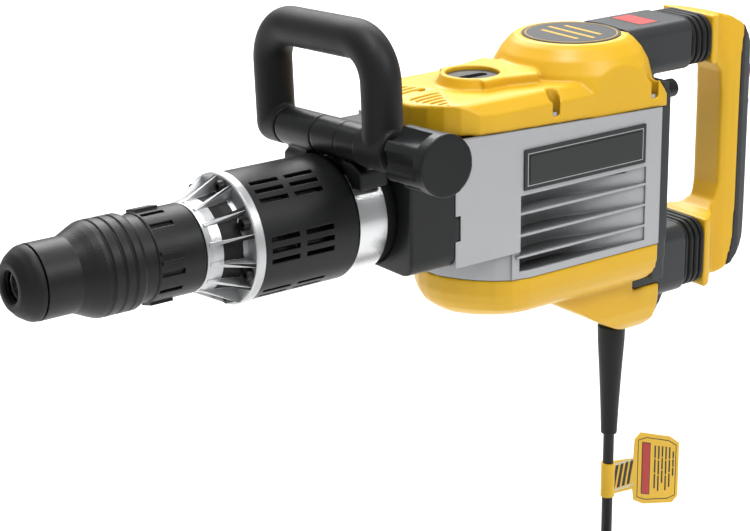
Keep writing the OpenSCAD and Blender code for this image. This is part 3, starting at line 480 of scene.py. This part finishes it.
def paint_flange_pocket_shade():
    """Paints the floors of the pockets between the flange's ribs black: painted shade in the pockets,
    standing also for the black barrel behind them.
    """
    mesh = NODES["front_flange"].data
    mesh.materials.append(POCKET_SHADE)
    low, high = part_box("front_flange")
    start, end = low.x + COLLAR, high.x - RIM
    for face in mesh.polygons:
        centre = face.center
        reach = math.hypot(centre.y, centre.z)
        share = (centre.x - start) / (end - start)
        skin = POCKET_R + POCKET_FLARE * max(0, min(share, 1))
        outward = (face.normal.y * centre.y + face.normal.z * centre.z) / max(reach, 1e-6)
        if start < centre.x < end and reach < skin and outward > 0.3:
            face.material_index = 1


def ring_points(radius, count=96):
    return [(radius * math.cos(2 * math.pi * k / count), radius * math.sin(2 * math.pi * k / count))
            for k in range(count)]


DOME_BARS = ((-11, 19), (0, 24), (11, 19))  # place along X and half length, in millimetres


def make_dome_ring():
    low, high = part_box("dome_disc")
    centre = (low + high) / 2
    radius = (high.x - low.x) / 2
    goes_on = (Matrix.Translation((centre.x, centre.y, high.z - SINK)), "housing", "dome_disc", YELLOW)
    band("dome_ring", ring_points(radius - 2.2 * MM), 0.7 * MM, PRINT, *goes_on)
    for k, (x, half) in enumerate(DOME_BARS):
        bar = rectangle((x - 1.6) * MM, -half * MM, (x + 1.6) * MM, half * MM)
        plate(f"dome_bar_{k}", bar, 0.12 * MM, *goes_on)


def make_bracket_label():
    """A plain red bar with a dark edge on top of the upper bracket."""
    _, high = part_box("rear_plate")
    goes_on = (Matrix.Translation((high.x - 32 * MM, 0, high.z - SINK)), "housing", "rear_plate")
    for name, half_x, half_y, thickness, finish in (
        ("bracket_label_edge", 10, 16.5, 0.12, INK), ("bracket_label", 8.8, 15.2, 0.2, RED),
    ):
        outline = rectangle(-half_x * MM, -half_y * MM, half_x * MM, half_y * MM)
        plate(name, outline, thickness * MM, *goes_on, finish)


paint_flange_pocket_shade()
make_dome_ring()
make_bracket_label()

# ---------- warning tag: generic stripes, block and bars, in millimetres from the cord's centre ----------

CORD_X = 0.489
TAG_Z = -0.265
PANEL_TOP = [(28, 26), (34, 30), (66, 18), (76, 10)]
PANEL_FOOT = [(28, -26), (38, -32), (70, -40), (76, -36)]
BORDER_X = (31, 40, 52, 64, 73)
BORDER_INSET_Z = 3.4
TEXT_LINES = (  # x, then the share of the panel's height where the line starts and ends
    (49, 0.16, 0.80), (53, 0.16, 0.84), (57, 0.16, 0.72), (61, 0.16, 0.83), (65, 0.16, 0.78), (69, 0.2, 0.6),
)
LINE_WIDTH, WORD_GAP = 1.5, 0.018
STRIPES, STRIPE_START, STRIPE_STEP = 4, 4.2, 5.2
STRIPE = ((0, -10.2), (2.9, -10.2), (6.6, 9.2), (3.7, 9.2))
NECK_X0, NECK_X1 = 4, 26.6
# Lower and upper line of each pale edge, and how far they fall on the way to the panel.
NECK_EDGES = ((9.6, 11.6, 1.6), (-12.4, -10.4, 0.6))
CARD_HALF = 0.5 * MM
INK_DEPTH = 0.16 * MM


def tag_point(x, z):
    return (CORD_X + x * MM, TAG_Z + z * MM)


def along(points, x):
    for (x0, z0), (x1, z1) in zip(points, points[1:]):
        if x0 <= x <= x1:
            return z0 + (z1 - z0) * (x - x0) / (x1 - x0)
    return points[-1][1]


def slanted(x0, x1, top, foot):
    """A strip of the panel between two x lines, given as shares of its height from the top."""
    corners = []
    for x, share in ((x0, foot), (x1, foot), (x1, top), (x0, top)):
        high, low = along(PANEL_TOP, x), along(PANEL_FOOT, x)
        corners.append(tag_point(x, high + (low - high) * share))
    return corners


def make_tag():
    upright = Matrix.Rotation(math.radians(90), 4, "X")
    border = [tag_point(x, along(PANEL_TOP, x) - BORDER_INSET_Z) for x in BORDER_X]
    border += [tag_point(x, along(PANEL_FOOT, x) + BORDER_INSET_Z) for x in reversed(BORDER_X)]
    for side, name in ((-1, "near"), (1, "far")):
        y = -CARD_HALF if side < 0 else CARD_HALF + INK_DEPTH
        place = Matrix.Translation((0, y, 0)) @ upright
        over = Matrix.Translation((0, side * 0.08 * MM, 0)) @ place

        def printed(piece, outline, finish, where=place):
            plate(piece, outline, INK_DEPTH, where, "housing", "cord_tag", finish)

        band("tag_border_" + name, border, 0.6 * MM, INK_DEPTH, place, "housing", "cord_tag", INK)
        printed("tag_block_edge_" + name, slanted(35.4, 44.6, 0.13, 0.87), INK)
        printed("tag_block_" + name, slanted(36.2, 43.8, 0.142, 0.858), RED, over)
        for k, (x, top, foot) in enumerate(TEXT_LINES):
            cuts = (top, top + (foot - top) * 0.31, top + (foot - top) * 0.64, foot)
            for j, (start, end) in enumerate(zip(cuts, cuts[1:])):
                printed(f"tag_line_{name}_{k}_{j}", slanted(x, x + LINE_WIDTH, start, end - WORD_GAP), INK)
        for k in range(STRIPES):
            x = STRIPE_START + STRIPE_STEP * k
            printed(f"tag_stripe_{name}_{k}", [tag_point(x + dx, z) for dx, z in STRIPE], INK)
        for k, (low, high, fall) in enumerate(NECK_EDGES):
            corners = ((NECK_X0, low), (NECK_X1, low - fall), (NECK_X1, high - fall), (NECK_X0, high))
            printed(f"tag_edge_{name}_{k}", [tag_point(x, z) for x, z in corners], CREAM)


make_tag()

# ---------- surroundings ----------


FLOOR_Z, FLOOR_HALF = -0.3856, 6
WORLD_STRENGTH = 0.34
AIM = Vector((0.32, 0, 0))
LAMPS = {  # place, size, power, whether it is aimed at the hammer
    "key": ((0.75, -1.5, 1.35), 0.6, 15, True), "overhead": ((0.1, -0.25, 1.3), 0.40, 9, True),
    "back": ((0.9, 1.2, 1.3), 0.8, 5, True), "floor_wash": ((1.5, 2.4, 1.9), 3.2, 150, False),
}


def make_floor():
    material = surface("pale_floor", (0.93, 0.93, 0.93), 0.75, grain=0.02, mottled=0.01)
    corners = [(x, y, 0) for x, y in rectangle(-FLOOR_HALF, -FLOOR_HALF, FLOOR_HALF, FLOOR_HALF)]
    mesh = mesh_from("floor", corners, [(0, 1, 2, 3)])
    mesh.transform(Matrix.Translation((0, 0, FLOOR_Z)))
    mesh.materials.append(material)
    floor = bpy.data.objects.new("floor", mesh)
    COLLECTION.objects.link(floor)


def make_light():
    """A pale world, three soft lamps on the hammer and a wide one over the floor behind it."""
    scene = bpy.context.scene
    scene.view_settings.view_transform = "Standard"
    scene.view_settings.look = "None"
    world = bpy.data.worlds.new("studio")
    world.use_nodes = True
    background = world.node_tree.nodes["Background"]
    background.inputs["Color"].default_value = (1, 1, 1, 1)
    background.inputs["Strength"].default_value = WORLD_STRENGTH
    scene.world = world
    for name, (place, size, power, aimed) in LAMPS.items():
        data = bpy.data.lights.new(name, "AREA")
        data.size = size
        data.energy = power
        lamp = bpy.data.objects.new(name, data)
        COLLECTION.objects.link(lamp)
        lamp.location = place
        if aimed:
            lamp.rotation_euler = (AIM - Vector(place)).to_track_quat("-Z", "Y").to_euler()


make_floor()
make_light()
